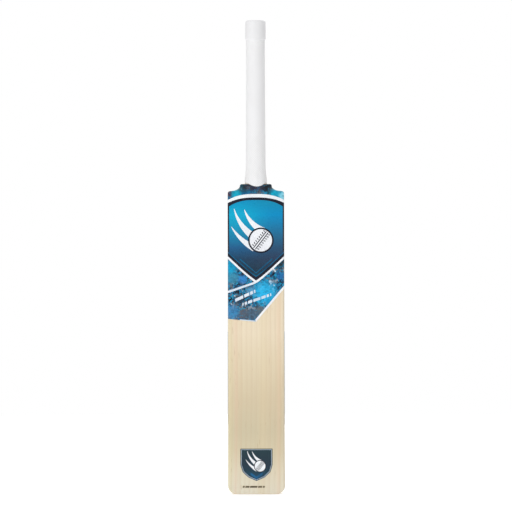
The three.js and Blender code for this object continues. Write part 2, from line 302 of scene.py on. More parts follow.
def build_blade(material):
    """The blade's skin, with a slot for the splice, the slot's walls and floor, and flat ends."""
    heights = blade_heights()
    sections = [blade_section(z) for z in heights]
    points = concatenate([s[0] for s in sections])
    front, back = sections[0][1:]
    count = len(sections[0][0])
    slot_front = (front - 2, front)
    back_middle = 2 * front - 1 + back - 1
    slot_back = (back_middle - 1, back_middle + 1)
    in_slot = {front - 2, front - 1, back_middle - 1, back_middle}
    tip = int(np.argmin(np.abs(heights - SPLICE_TIP)))
    skin = enumerate(ring_faces(len(heights), count))
    faces = [face for i, face in skin if i < tip * count or i % count not in in_slot]
    for a in range(tip * count, (len(heights) - 1) * count, count):
        b = a + count
        for i, j in (slot_front[0], slot_back[1]), (slot_back[0], slot_front[1]):
            faces.append((a + i, a + j, b + j, b + i))
    floor = [slot_front[0], front - 1, slot_front[1], slot_back[0], back_middle, slot_back[1]]
    faces.append(tuple(tip * count + i for i in floor))
    faces.append(tuple(range(count))[::-1])
    top = (len(heights) - 1) * count
    faces.append(tuple(top + i for i in range(slot_front[1], slot_back[0] + 1)))
    left = [*range(slot_back[1], count), *range(0, slot_front[0] + 1)]
    faces.append(tuple(top + i for i in left))
    piece("blade_willow", points, faces, material, ["blade"])


def strip_sections(x0, x1, y0, y1, top):
    """Sections of one strip of the handle: in the splice, then in the oval above it."""
    columns = np.sin(linspace(0, math.pi / 2, 12))
    from_axis = (y0 - HANDLE_Y, y1 - HANDLE_Y)
    nearest = min(map(abs, from_axis)) if math.prod(from_axis) > 0 else 0
    outward = abs(x0) > abs(x1)
    near, far = (x1, x0) if outward else (x0, x1)
    both = near * far < 0
    start = SPLICE_TIP
    if not both:
        start += (abs(near) - SPLICE_TIP_HALF + 0.05) / SPLICE_SLOPE
    low = linspace(start, NECK_TOP, 28)
    high = concatenate([linspace(NECK_TOP, 640, 16), linspace(660, top, 10)])
    rows = []
    for z, oval in [(z, False) for z in low] + [(z, True) for z in high]:
        if oval:
            half, depth = cane_half_width(z), cane_half_depth(z)
            reach = half * math.sqrt(max(1 - (nearest / depth) ** 2, 0))
        else:
            half = reach = splice_half(z)
        ends = [math.copysign(min(abs(end), reach), end) for end in (near, far)]
        if both:
            x = ends[1] * linspace(-1, 1, 2 * len(columns) - 1)
        else:
            x = lerp(ends[0], ends[1], columns)
        x = np.sort(x)
        if oval:
            chord = depth * sqrt(clip(1 - (x / half) ** 2, 0, 1))
            front, back = HANDLE_Y - chord, HANDLE_Y + chord
        else:
            front, back = face_y(x, z), back_y(x, z)
        lower = clip(front, y0, y1)
        upper = clip(back, y0, y1)
        ring = [concatenate([x, x[::-1]]), concatenate([lower, upper[::-1]])]
        rows.append(stack([*ring, np.full(2 * len(x), z)], 1))
    return rows


def build_strip(name, cad_node, limits, top, material, slot):
    rows = strip_sections(*limits, top)
    count = len(rows[0])
    faces = ring_faces(len(rows), count)
    faces.append(tuple(range(count))[::-1])
    faces.append(tuple((len(rows) - 1) * count + i for i in range(count)))
    piece(name, concatenate(rows), faces, material, [cad_node])


def build_handle(cane, rubber):
    """Four slabs of cane, three strips to a slab, and the rubber springs between them."""
    gap = SPRING_HALF + GLUE_LINE
    far = 90
    slabs = ["front_outer", "front_inner", "back_inner", "back_outer"]
    for i, slab in enumerate(slabs):
        y0 = -far if i == 0 else HANDLE_Y + (i - 2) * SPRING_PITCH + gap
        y1 = far if i == 3 else HANDLE_Y + (i - 1) * SPRING_PITCH - gap
        for j, place in enumerate(["left", "middle", "right"]):
            x0 = -far if j == 0 else (2 * j - 3) * STRIP_HALF + GLUE_LINE
            x1 = far if j == 2 else (2 * j - 1) * STRIP_HALF - GLUE_LINE
            name = f"{slab}_{place}"
            limits = (x0, x1, y0, y1)
            build_strip(f"strip_{name}", f"cane_{name}", limits, HANDLE_TOP, cane, "cane")
    for i, place in enumerate(["front", "middle", "back"]):
        y = HANDLE_Y + (i - 1) * SPRING_PITCH
        limits = (-far, far, y - SPRING_HALF, y + SPRING_HALF)
        names = (f"rubber_{place}", f"spring_{place}")
        build_strip(*names, limits, SPRING_TOP, rubber, "spring_rubber")


def grip_profile():
    """(height, distance out from the cane, is it in the bore) up the grip and down its bore."""
    rim = 0.9
    collar = GRIP_OUT + COLLAR_OUT
    profile = []
    for angle in linspace(0, math.pi / 2, 6):
        z = GRIP_RIM + rim * (1 - math.sin(angle))
        profile.append((z, GRIP_OUT - rim * (1 - math.cos(angle)), False))
    profile.reverse()
    step_low, step_high = COLLAR_BOTTOM - COLLAR_STEP, COLLAR_BOTTOM + COLLAR_STEP
    profile += [(z, GRIP_OUT, False) for z in linspace(GRIP_RIM + 1.6, step_low, 170)]
    for step in linspace(0, 1, 9)[1:]:
        z = lerp(step_low, step_high, step)
        profile.append((z, GRIP_OUT + COLLAR_OUT * smoothstep(0, 1, step), False))
    above = linspace(step_high + 0.8, GRIP_TOP - COLLAR_ROUND - 0.4, 18)
    profile += [(z, collar, False) for z in above]
    for angle in linspace(0, math.pi / 2, 10):
        z = GRIP_TOP - COLLAR_ROUND * (1 - math.sin(angle))
        drawn = 0.8 * COLLAR_ROUND * (1 - math.cos(angle))
        profile.append((z, collar - drawn, False))
    profile += [(GRIP_TOP - 0.15, LIP_IN + 0.25, True), (GRIP_TOP - 0.5, LIP_IN, True)]
    profile += [(GRIP_TOP - GRIP_LIP, LIP_IN, True), (GRIP_TOP - GRIP_LIP - 0.2, GRIP_IN, True)]
    profile += [(z, GRIP_IN, True) for z in linspace(850, GRIP_RIM + 0.6, 40)]
    return profile


def build_grip(material):
    around = 128
    angles = linspace(0, 2 * math.pi, around, endpoint=False)
    clear = PRINT_TOP + 0.1
    rows = []
    for z, out, inside in grip_profile():
        shape = max(z, NECK_TOP)
        x = (cane_half_width(shape) + out) * np.cos(angles)
        across = (x - GRIP_DIP_X) / GRIP_DIP_HALF
        dip = GRIP_DIP * clip(1 - across**2, 0, 1) * (1 - smoothstep(GRIP_RIM, 592, z))
        heights = z - dip
        depth = (cane_half_depth(shape) + out) * np.sin(angles)
        if inside:
            most = np.abs((cane_half_depth(shape) + GRIP_OUT - GRIP_WALL) * np.sin(angles))
            front = np.minimum(depth, face_y(x, heights) - clear - HANDLE_Y)
            back = np.maximum(depth, back_y(x, heights) + clear - HANDLE_Y)
            spread = where(depth < 0, front, where(depth > 0, back, depth))
            spread = clip(spread, -most, most)
            depth = where(heights < NECK_TOP + 0.2, spread, depth)
        y = HANDLE_Y + depth
        rows.append(stack([x, y, heights], 1))
    faces = ring_faces(len(rows), around, closed_rows=True)
    points = concatenate(rows)
    piece("grip_sleeve", points, faces, material, ["grip"], 50)


# ---- thin printed pieces


def front_place(x, z):
    """Point of the face, or of the rim round it."""
    y = face_y(x, z) + rim_inset(depth_inside(x, z), rim_radius(z, RIM_FRONT))
    return stack([x, y, z], -1)


def back_place(s, z):
    """Point of the back, s mm to the left of its middle as seen from the front."""
    return stack([-s, back_y(s, z), z], -1)


def edge_place(side):
    """The flat side wall of the blade: side is 1 on the right, -1 on the left."""
    def place(s, z):
        return stack([side * half_width(z), side * s, z], -1)
    return place


def lifted(place, s, z, lift):
    """Points this far above the surface, along its normal."""
    step = 0.05
    here = place(s, z)
    along = place(s + step, z) - place(s - step, z)
    up = place(s, z + step) - place(s, z - step)
    normal = np.cross(along, up)
    return here + lift * normal / np.linalg.norm(normal, axis=-1, keepdims=True)


def inside_loops(points, loops):
    """Even-odd test of points against closed loops."""
    x, z = points[:, 0], points[:, 1]
    inside = np.zeros(len(points), bool)
    for loop in loops:
        for (x0, z0), (x1, z1) in zip(loop, np.roll(loop, -1, 0)):
            if z0 == z1:
                continue
            crosses = (z0 > z) != (z1 > z)
            inside ^= crosses & (x < (x1 - x0) * (z - z0) / (z1 - z0) + x0)
    return inside


def dense(loop):
    """The loop with extra points, closer together round the rims."""
    points = []
    loop = np.asarray(loop, float)
    for a, b in zip(loop, np.roll(loop, -1, 0)):
        spacing = 0.9 if max(abs(a[0]), abs(b[0])) > 46 else 1.8
        count = max(int(math.ceil(np.hypot(*(b - a)) / spacing)), 1)
        points += [a + (b - a) * i / count for i in range(count)]
    return np.array(points)


RIM_STEPS = (0.65, 1.0, 1.5, 2.1, 2.9, 3.9)


def normals(steps):
    """Unit vectors a quarter turn to the left of these steps."""
    steps = steps / np.linalg.norm(steps, axis=1, keepdims=True)
    return stack([-steps[:, 1], steps[:, 0]], 1)


def inset_outline(distance):
    """Right-hand side of the outline above the toe corner, drawn in by this distance."""
    side = OUTLINE[OUTLINE[:, 1] > TOE_CORNER]
    drawn = side + distance * normals(np.gradient(side, axis=0))
    return drawn[(depth_inside(*drawn.T) > distance - 0.03) & (side[:, 1] < NECK_TOP)]


def surface_points():
    """Inner points for every thin piece: a grid, and lines that follow the rims."""
    x = arange(-48, 49, 2)
    fine = SHOULDER_START - 5
    z = concatenate([arange(15, fine, 5), arange(fine, NECK_TOP, 1)])
    grid = stack(np.meshgrid(x, z), -1).reshape(-1, 2)
    grid = grid[depth_inside(*grid.T) > RIM_STEPS[-1] + 0.4]
    lines = concatenate([resampled(inset_outline(step), 0.8) for step in RIM_STEPS])
    return concatenate([grid, lines, lines * (-1, 1)])


SURFACE_POINTS = surface_points()


def plate(name, loops, low, high, ink, cad_node, place=front_place):
    """A thin closed piece between two heights above a surface, with holes where loops nest."""
    loops = [dense(loop) for loop in loops]
    outline = concatenate(loops)
    within = (SURFACE_POINTS > outline.min(0)) & (SURFACE_POINTS < outline.max(0))
    inner = SURFACE_POINTS[within.all(1)]
    inner = inner[inside_loops(inner, loops)]
    gaps = np.hypot(*(inner[:, None] - outline[None]).transpose(2, 0, 1)).min(1)
    inner = inner[gaps > 0.3]
    edges = []
    start = 0
    for loop in loops:
        edges += [(start + i, start + (i + 1) % len(loop)) for i in range(len(loop))]
        start += len(loop)
    flat = [Vector(p) for p in concatenate([outline, inner])]
    filled = delaunay_2d_cdt(flat, edges, [], 0, 1e-6)
    corners = np.array([tuple(c) for c in filled[0]])
    triangles = np.array(filled[2])
    triangles = triangles[inside_loops(corners[triangles].mean(1), loops)]
    used = np.unique(triangles)
    renumber = np.full(len(corners), -1)
    renumber[used] = arange(len(used))
    corners, triangles = corners[used], renumber[triangles]
    count = len(corners)
    top = lifted(place, corners[:, 0], corners[:, 1], high)
    bottom = lifted(place, corners[:, 0], corners[:, 1], low)
    faces = [tuple(t) for t in triangles.tolist()]
    sides = {(t[i], t[(i + 1) % 3]) for t in faces for i in range(3)}
    walls = [(b, a, a + count, b + count) for a, b in sorted(sides) if (b, a) not in sides]
    under = [tuple(i + count for i in reversed(t)) for t in faces]
    points = concatenate([top, bottom])
    piece(name, points, faces + under + walls, INKS[ink], [cad_node])


def overprint(name, loops, ink, cad_node, place=front_place, sunk=0):
    """Raised print on a film, lower by sunk where other print crosses it."""
    plate(name, loops, FILM - 0.02, PRINT - sunk, ink, cad_node, place)


def circle(x, z, radius):
    angles = linspace(0, 2 * math.pi, 48, endpoint=False)
    return stack([x + radius * np.cos(angles), z + radius * np.sin(angles)], 1)


def stroke(path, widths):
    """Loop round a line drawn with this width, or with a width at each point."""
    path = np.asarray(path, float)
    half = np.broadcast_to(np.asarray(widths, float) / 2, len(path))[:, None]
    across = normals(np.gradient(path, axis=0)) * half
    return concatenate([path - across, (path + across)[::-1]])


def chevron(x, z, half, rise, thick):
    """A V stripe whose point is at x, z."""
    return [(x, z), (x + half, z + rise), (x + half, z + rise + thick), (x, z + thick),
            (x - half, z + rise + thick), (x - half, z + rise)]


def inset(loop, distance):
    """The loop drawn in by this distance; for convex loops that run anticlockwise."""
    loop = np.asarray(loop, float)
    inward = normals(np.roll(loop, -1, 0) - loop)
    before = np.roll(inward, 1, 0)
    reach = distance / (1 + (inward * before).sum(1, keepdims=True))
    return loop + (inward + before) * reach


# ---- shader helpers


def rgb(*levels):
    """An sRGB colour out of 255, as Blender's linear values."""
    def linear(c):
        c /= 255
        return c / 12.92 if c <= 0.04045 else ((c + 0.055) / 1.055) ** 2.4
    return (*map(linear, levels), 1)


def is_output(value):
    return isinstance(value, bpy.types.NodeSocket)


def feed(socket, value):
    """Link a socket to another node's output, or set it to a plain value."""
    if is_output(value):
        socket.id_data.links.new(value, socket)
    else:
        socket.default_value = value


def add(kind, sockets=None, tree=None, **settings):
    """A new node in this tree, or in the tree of the outputs that feed its sockets."""
    sockets = sockets or {}
    tree = tree or next(filter(is_output, sockets.values())).id_data
    made = tree.nodes.new("ShaderNode" + kind)
    for key, value in settings.items():
        setattr(made, key, value)
    for key, value in sockets.items():
        feed(made.inputs[key], value)
    return made


def maths(operation, *values):
    return add("Math", dict(enumerate(values)), operation=operation).outputs[0]


plus = partial(maths, "ADD")
minus = partial(maths, "SUBTRACT")
times = partial(maths, "MULTIPLY")
over = partial(maths, "DIVIDE")


def hypotenuse(*sides):
    squares = [maths("POWER", side, 2) for side in sides]
    return maths("SQRT", plus(*squares))


def mix(factor, first, second, blend="MIX"):
    """Two colours mixed: 6 and 7 are a Mix node's colour inputs, and 2 its colour output."""
    sockets = {0: factor, 6: first, 7: second}
    return add("Mix", sockets, data_type="RGBA", blend_type=blend).outputs[2]


def ramp(factor, stops, interpolation="LINEAR"):
    """Colour ramp through stops, each a position and then a grey, or red, green and blue."""
    made = add("ValToRGB", {"Fac": factor})
    elements = made.color_ramp.elements
    made.color_ramp.interpolation = interpolation
    while len(elements) < len(stops):
        elements.new(0.5)
    for element, (position, *shade) in zip(elements, stops):
        element.position = position
        element.color = rgb(*shade) if len(shade) == 3 else (*shade * 3, 1)
    return made.outputs["Color"]


def remap(value, low, high, out_low=0.0, out_high=1.0, smooth=False):
    sockets = dict(enumerate((value, low, high, out_low, out_high)))
    kind = "SMOOTHSTEP" if smooth else "LINEAR"
    return add("MapRange", sockets, interpolation_type=kind).outputs["Result"]


def scaled(vector, x, y, z):
    return add("Mapping", {"Vector": vector, "Scale": (x, y, z)}).outputs[0]


def noise(vector, scale=1, detail=3, roughness=0.55):
    sockets = {"Vector": vector, "Scale": scale, "Detail": detail, "Roughness": roughness}
    return add("TexNoise", sockets).outputs[0]


def cells(vector, scale, metric="EUCLIDEAN"):
    """Distance to the nearest cell's middle, and a random value for each cell."""
    made = add("TexVoronoi", {"Vector": vector, "Scale": scale}, distance=metric)
    shade = add("SeparateColor", {"Color": made.outputs["Color"]}).outputs[0]
    return made.outputs["Distance"], shade


def new_material(name, roughness):
    """A material, its shader, and object coordinates in metres: a vector, then x, y and z."""
    made = bpy.data.materials.new(name)
    made.use_nodes = True
    shader = made.node_tree.nodes["Principled BSDF"]
    shader.inputs["Roughness"].default_value = roughness
    vector = add("TexCoord", tree=made.node_tree).outputs["Object"]
    split = add("SeparateXYZ", {"Vector": vector})
    return made, shader, vector, *split.outputs


def connect(shader, colour, rough, relief, distance, strength):
    """Feed a shader its colour and roughness, and a bump this deep from the relief."""
    sockets = {"Height": relief, "Distance": distance, "Strength": strength}
    normal = add("Bump", sockets).outputs["Normal"]
    for name, value in ("Base Color", colour), ("Roughness", rough), ("Normal", normal):
        feed(shader.inputs[name], value)


# ---- materials


GRAIN_HEART = (-0.35, 0.06)
GRAIN_PITCH = 0.0088
LATE_WOOD = [(0, 0.0), (0.5, 0.06), (0.86, 0.55), (0.93, 1.0), (1, 0.0)]
# Tones from the toe to the neck, and bands along the blade: x and reach in mm, strength, colour.
# The grey band at x 52, on the right edge, is painted shade.
WOOD_TONES = [
    (0.00, 220, 216, 199), (0.07, 216, 209, 186), (0.14, 204, 194, 165),
    (0.20, 197, 187, 158), (0.30, 204, 190, 160), (0.44, 219, 205, 176),
    (0.52, 227, 213, 187), (0.80, 226, 210, 182), (1.00, 222, 204, 172),
]
WOOD_BANDS_AND_EDGE_SHADE = [
    (-49, 9, 0.3, 216, 210, 168), (-38, 6, 0.18, 232, 188, 166),
    (42, 7, 0.2, 226, 184, 156), (52, 5, 0.4, 206, 198, 178),
    (12, 14, 0.2, 222, 208, 168),
]


def willow_material():
    """Pale willow: straight grain, fine fibres and flecks along it, darker pored ends, and painted
    shade on the right edge.
    """
    made, shader, vector, x, y, z = new_material("willow", 0.47)
    slow = noise(scaled(vector, 7, 7, 1.7), detail=2)
    drift = remap(slow, 0.3, 0.7, -0.004, 0.004)
    across = minus(x, GRAIN_HEART[0])
    deep = minus(y, GRAIN_HEART[1])
    from_heart = hypotenuse(across, deep)
    rings = over(plus(from_heart, drift), GRAIN_PITCH)
    late = ramp(maths("FRACT", rings), LATE_WOOD)
    which = {"W": maths("FLOOR", rings)}
    year = add("TexWhiteNoise", which, noise_dimensions="1D").outputs[0]
    fibres = noise(scaled(vector, 850, 850, 11), detail=3, roughness=0.6)
    flecks = noise(scaled(vector, 360, 360, 34), detail=2)
    clouds = noise(scaled(vector, 22, 22, 4), detail=2)
    colour = ramp(over(z, NECK_TOP * MM), WOOD_TONES)
    # Tinted bands along the grain; the grey one on the right edge is painted shade.
    for middle, reach, strength, *tint in WOOD_BANDS_AND_EDGE_SHADE:
        away = maths("ABSOLUTE", minus(plus(x, drift), middle * MM))
        share = remap(away, 0, reach * MM, strength, 0, smooth=True)
        colour = mix(share, colour, rgb(*tint))
    for value, low, high, most, *tint in (
        (late, 0, 1, 0.22, 188, 158, 116),
        (year, 0, 1, 0.12, 205, 176, 140),
        (clouds, 0.35, 0.7, 0.16, 204, 182, 150),
        (fibres, 0.45, 0.75, 0.16, 192, 164, 124),
        (flecks, 0.68, 0.74, 0.3, 160, 122, 84),
    ):
        colour = mix(remap(value, low, high, 0, most), colour, rgb(*tint))
    normal = add("NewGeometry", tree=made.node_tree).outputs["Normal"]
    upward = add("SeparateXYZ", {"Vector": normal}).outputs[2]
    cut = remap(maths("ABSOLUTE", upward), 0.75, 0.97)
    pores = noise(scaled(vector, 2400, 2400, 200), detail=1)
    end = mix(remap(pores, 0.45, 0.65), rgb(206, 184, 146), rgb(172, 144, 106))
    end = mix(remap(late, 0, 1, 0, 0.6), end, rgb(150, 116, 78))
    colour = mix(times(cut, 0.8), colour, end)
    rough = remap(fibres, 0.3, 0.7, 0.4, 0.56)
    relief = plus(fibres, times(late, 0.4))
    connect(shader, colour, rough, relief, 0.00006, 0.7)
    return made


def cane_material():
    """Varnished cane: dark fibre bundles that show as streaks along it and as dots on its ends."""
    made, shader, vector = new_material("cane", 0.42)[:3]
    bundles, shade = cells(scaled(vector, 1, 1, 0.008), 1500)
    streaks = noise(scaled(vector, 500, 500, 7), detail=3)
    base = mix(remap(streaks, 0.35, 0.68), rgb(222, 190, 138), rgb(190, 150, 98))
    tint = mix(times(shade, 0.3), base, rgb(236, 210, 165))
    colour = mix(remap(bundles, 0.14, 0.34, 0.6, 0), tint, rgb(124, 86, 50))
    rough = remap(streaks, 0.3, 0.7, 0.34, 0.5)
    connect(shader, colour, rough, bundles, 0.00008, 0.6)
    return made


def rubber_material():
    """Black sheet rubber with a chalky bloom."""
    made, shader, vector = new_material("spring_rubber", 0.7)[:3]
    bloom = noise(vector, 420, 4)
    grain = noise(vector, 3200, 2)
    colour = mix(remap(bloom, 0.4, 0.75), rgb(26, 26, 28), rgb(58, 57, 56))
    rough = remap(bloom, 0.3, 0.7, 0.6, 0.8)
    connect(shader, colour, rough, grain, 0.00005, 0.6)
    return made


TWINE_PITCH = 0.0009
TWINE_LAY = 0.004


def twine_material():
    """Waxed linen twine wound round the handle in a close helix."""
    made, shader, vector, x, _, z = new_material("twine", 0.62)
    height = plus(z, times(x, TWINE_LAY))
    turns = times(over(height, TWINE_PITCH), 2 * math.pi)
    thread = remap(maths("SINE", turns), -1, 1)
    fuzz = noise(vector, 1600, 3)
    # The turns' crests are lighter and the gaps between them darker: painted shade between the
    # threads.
    colour = mix(thread, rgb(150, 132, 100), rgb(226, 214, 184))
    colour = mix(remap(fuzz, 0.4, 0.7, 0, 0.3), colour, rgb(186, 168, 132))
    rough = remap(fuzz, 0.3, 0.7, 0.5, 0.72)
    connect(shader, colour, rough, thread, 0.0003, 0.8)
    return made


GRIP_STUDS_AROUND = 26
GRIP_STUD_RISE = 0.0044
COLLAR_PAINTED_SHADE = (0.9, 0.9, 0.905, 1)


def grip_material():
    """Soft white rubber, moulded with a shallow diamond texture below its smooth collar, and
    painted shade in its grooves and on its collar.
    """
    made, shader, vector, x, y, z = new_material("grip_rubber", 0.55)
    angle = maths("ARCTAN2", minus(y, HANDLE_Y * MM), x)
    around = times(angle, GRIP_STUDS_AROUND / (2 * math.pi))
    up = over(z, GRIP_STUD_RISE)
    grooves = []
    for operation in (plus, minus):
        cycle = maths("FRACT", operation(around, up))
        grooves.append(maths("ABSOLUTE", minus(cycle, 0.5)))
    groove = remap(maths("MAXIMUM", *grooves), 0.33, 0.5, smooth=True)
    moulded = remap(z, (COLLAR_BOTTOM - 4) * MM, (COLLAR_BOTTOM - 2) * MM, 1, 0)
    groove = times(groove, moulded)
    dust = noise(scaled(vector, 55, 55, 30), detail=4)
    skin = noise(vector, 2600, 2)
    dusty = remap(dust, 0.4, 0.75, 0, 0.25)
    colour = mix(dusty, rgb(237, 237, 238), rgb(226, 225, 224))
    # Painted shade: the diamond grooves are coloured a darker grey.
    colour = mix(times(groove, 0.2), colour, rgb(196, 197, 199))
    # Painted shade: the collar, and the last mm below its step, are darkened by a tenth.
    collar = remap(z, (COLLAR_BOTTOM - 4) * MM, (COLLAR_BOTTOM - 1) * MM)
    colour = mix(collar, colour, COLLAR_PAINTED_SHADE, "MULTIPLY")
    relief = minus(times(skin, 0.05), groove)
    rough = remap(dust, 0.3, 0.7, 0.48, 0.64)
    connect(shader, colour, rough, relief, 0.00035, 0.8)
    return made


VINYL_GLOSS = 0.3


def vinyl_material(name, paint):
    """Printed film: its artwork, faint ink mottling and a slight orange peel."""
    made, shader, *at = new_material(name, VINYL_GLOSS)
    ink = noise(at[0], 320, 4, 0.6)
    peel = noise(at[0], 1300, 1)
    mottle = ramp(ink, [(0.3, 0.9), (0.7, 1.0)])
    colour = mix(1.0, paint(*at), mottle, "MULTIPLY")
    shader.inputs["Specular IOR Level"].default_value = 0.17
    shader.inputs["Coat Weight"].default_value = 0.05
    shader.inputs["Coat Roughness"].default_value = 0.1
    rough = remap(ink, 0.3, 0.7, VINYL_GLOSS - 0.04, VINYL_GLOSS + 0.06)
    connect(shader, colour, rough, peel, 0.00003, 0.5)
    return made


def ink_paint(first, second):
    """One ink that drifts between two close shades."""
    def paint(vector, x, y, z):
        return mix(remap(noise(vector, 34, 3), 0.35, 0.65), first, second)
    return paint


def sweep_paint(low, high, left_stops, right_stops):
    """A gradient up the bat between two heights, with its own colours on the left and right."""
    def paint(vector, x, y, z):
        up = remap(z, low * MM, high * MM)
        side = remap(x, -0.04, 0.04, smooth=True)
        colour = mix(side, ramp(up, left_stops), ramp(up, right_stops))
        return halftone(colour, plus(x, y), z, up)
    return paint


HALFTONE_PITCH = 0.0021


def halftone(colour, across, z, up):
    """Fine lighter dots that fade out up the print."""
    offsets = []
    for operation in (plus, minus):
        turns = over(operation(across, z), HALFTONE_PITCH)
        offsets.append(minus(maths("FRACT", turns), 0.5))
    radius = remap(up, 0.25, 0.95, 0.32, 0.0)
    dots = maths("LESS_THAN", hypotenuse(*offsets), radius)
    return mix(times(dots, 0.13), colour, rgb(80, 190, 225))


CAMOUFLAGE_INKS = [
    (0.00, 18, 28, 38), (0.18, 26, 56, 84), (0.31, 30, 102, 146),
    (0.45, 24, 142, 184), (0.57, 56, 72, 88), (0.67, 96, 108, 120),
    (0.80, 136, 148, 162), (0.91, 196, 210, 222),
]
# Each patch: x, z and reach in mm, and its red, green and blue
CAMOUFLAGE_PATCHES = [
    (16, 370, 30, 40, 184, 236), (-51, 414, 21, 10, 158, 202),
    (-42, 396, 15, 64, 142, 172), (-45, 334, 19, 66, 134, 184),
    (45, 400, 10, 36, 110, 172), (-25, 394, 11, 54, 132, 204),
    (26, 350, 13, 22, 146, 196), (42, 425, 15, 34, 46, 50),
    (-30, 358, 14, 42, 52, 66), (-23, 330, 14, 86, 90, 100),
    (-6, 330, 16, 80, 104, 124), (20, 332, 9, 84, 48, 70),
    (9, 325, 8, 50, 128, 120), (-10, 372, 11, 96, 158, 196),
    (6, 338, 10, 84, 96, 104),
]
CELLS_ACROSS = (120, 310)


def camouflage_paint(patches):
    """Angular random cells in a few inks, with soft patches over them."""
    def paint(vector, x, y, z):
        flat = add("CombineXYZ", {"X": x, "Z": z}).outputs[0]
        big, small = [cells(flat, scale, "MANHATTAN")[1] for scale in CELLS_ACROSS]
        shade = plus(times(big, 0.55), times(small, 0.45))
        colour = ramp(shade, CAMOUFLAGE_INKS, "CONSTANT")
        strength = remap(small, 0, 1, 0.55, 1)
        for patch_x, patch_z, reach, *patch in patches:
            centre = (patch_x * MM, 0, patch_z * MM)
            gap = add("VectorMath", {0: flat, 1: centre}, operation="DISTANCE")
            away = gap.outputs["Value"]
            near = remap(away, reach * MM * 0.35, reach * MM, 1, 0, smooth=True)
            colour = mix(times(near, strength), colour, rgb(*patch))
        return colour
    return paint


# ---- the face sticker


# The films end a little inside the blade's outline; rises are per mm from the middle
STICKER_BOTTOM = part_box("face_sticker")[0][2] / MM
STICKER_TOP = NECK_TOP - 0.3
STICKER_MARGIN = 0.35
LEFT_RISE = 5.5 / HALF_WIDTH
SLANT_RISE = 61.5 / HALF_WIDTH
ARC_TOP = 551
V_POINT = 390
V_RISE = 45
# Width of the navy strips of painted shade along the panel's sides
PANEL_SHADE_WIDTH = 2.4
STRIPE_SLOPE = 18 / HALF_WIDTH
EMBLEM = (9, 466, 1.0)
STICKER_SIDE = inset_outline(STICKER_MARGIN)


def sticker_reach(z):
    """How far the sticker's side is from the middle at height z."""
    return np.interp(z, STICKER_SIDE[:, 1], STICKER_SIDE[:, 0])


def sticker_side(low, high):
    """Right-hand side of the sticker between two heights."""
    inner = STICKER_SIDE[(STICKER_SIDE[:, 1] > low) & (STICKER_SIDE[:, 1] < high)]
    return concatenate([[(sticker_reach(low), low)], inner, [(sticker_reach(high), high)]])


def arch(middle, drop, power=2.6):
    """A curve that falls away on both sides of its middle, or rises if the drop is negative."""
    def height(s):
        return middle - drop * (np.abs(s) / HALF_WIDTH) ** power
    return height


def slant(s):
    """The sticker's bottom edge: nearly level on the left, and steep on the right."""
    return STICKER_BOTTOM + where(s > 0, SLANT_RISE, -LEFT_RISE) * s


def across_sticker(curve, reach):
    s = linspace(-reach, reach, 81)
    return stack([s, curve(s)], 1)


def between(lower, upper):
    """Loop across the whole sticker between two curves."""
    reach = sticker_reach(lower(HALF_WIDTH))
    low, high = (across_sticker(curve, reach) for curve in (lower, upper))
    side = sticker_side(lower(reach), upper(reach))[1:-1]
    return concatenate([low, side, high[::-1], side[::-1] * (-1, 1)])


def shoulder_loop(lower):
    """Loop round the shoulders and the neck, above a curve."""
    reach = sticker_reach(lower(HALF_WIDTH))
    side = sticker_side(lower(reach), STICKER_TOP)[1:]
    return concatenate([across_sticker(lower, reach), side, side[::-1] * (-1, 1)])


def lower_loop(upper):
    """Loop round the part of the sticker below a curve, down to its slanting bottom edge."""
    reach = sticker_reach(400)
    corners = [(s, slant(s)) for s in (-reach, 0, reach)]
    return concatenate([corners, across_sticker(upper, reach)[::-1]])


def slanted_bars(start, end, height, widths, gap):
    """A row of leaning bars of these widths along the line from start to end."""
    start, end = np.array(start, float), np.array(end, float)
    length = np.linalg.norm(end - start)
    along = (end - start) / length
    up = along[::-1] * (-1, 1) * height + along * height * 0.28
    share = (length - gap * (len(widths) - 1)) / sum(widths)
    bars = []
    for width in widths:
        right = start + along * width * share
        bars.append(np.array([start, right, right + up, start + up]))
        start = right + along * gap
    return bars


# Radius, width at the ball and last angle of each tail
EMBLEM_TAILS = [(70, 13.5, 199), (87.5, 15, 194), (105, 12.5, 211)]
EMBLEM_BALL = 20.5
EMBLEM_RING = 3
SWING = np.array([36, 79])
SEAM_LEAN = math.radians(-38)


def emblem_tails(x, z, size):
    """Loops of the tails, on arcs round one centre, that thin to points."""
    tails = []
    t = linspace(0, 1, 26)
    for radius, width, last in EMBLEM_TAILS:
        turn = np.radians(lerp(243, last, t))
        path = (x, z) + size * (SWING + radius * stack([np.cos(turn), np.sin(turn)], 1))
        tails.append(stroke(path, size * lerp(width, 1.0, t**1.15)))
    return tails


def emblem_seam(x, z, ball, size):
    """Two rows of sewing across the ball, and the stitches on each side of them."""
    across = np.array([math.cos(SEAM_LEAN), math.sin(SEAM_LEAN)])
    along = across[::-1] * (-1, 1)
    t = linspace(-1, 1, 19)[:, None]
    rows, stitches = [], []
    for side in (-1, 1):
        row = (x, z) + along * 0.94 * ball * t + across * side * size * 2.1
        rows.append(stroke(row, 1.7 * size))
        for step in linspace(-0.8, 0.8, 8):
            foot = (x, z) + along * step * ball + across * side * 4.2 * size
            tip = foot + (across * side * 3.4 + along * 1.6) * size
            stitches.append(stroke([foot, (foot + tip) / 2, tip], 1.6 * size))
    return rows, stitches


def emblem(name, cad_node, x, z, size, place=front_place):
    """A cricket ball in flight: a ringed, seamed ball with three curved tails."""
    ball, ring = EMBLEM_BALL * size, EMBLEM_RING * size
    for part, loops, ink, raised in (
        ("tails", emblem_tails(x, z, size), "white", 0),
        ("ring", [circle(x, z, ball + ring)], "navy", 0.03),
        ("ball", [circle(x, z, ball)], "white", 0.07),
    ):
        overprint(f"{name}_{part}", loops, ink, cad_node, place, -raised)
    for part, loops in zip(("seam", "stitches"), emblem_seam(x, z, ball, size)):
        plate(f"{name}_{part}", loops, PRINT, PRINT_TOP, "navy", cad_node, place)


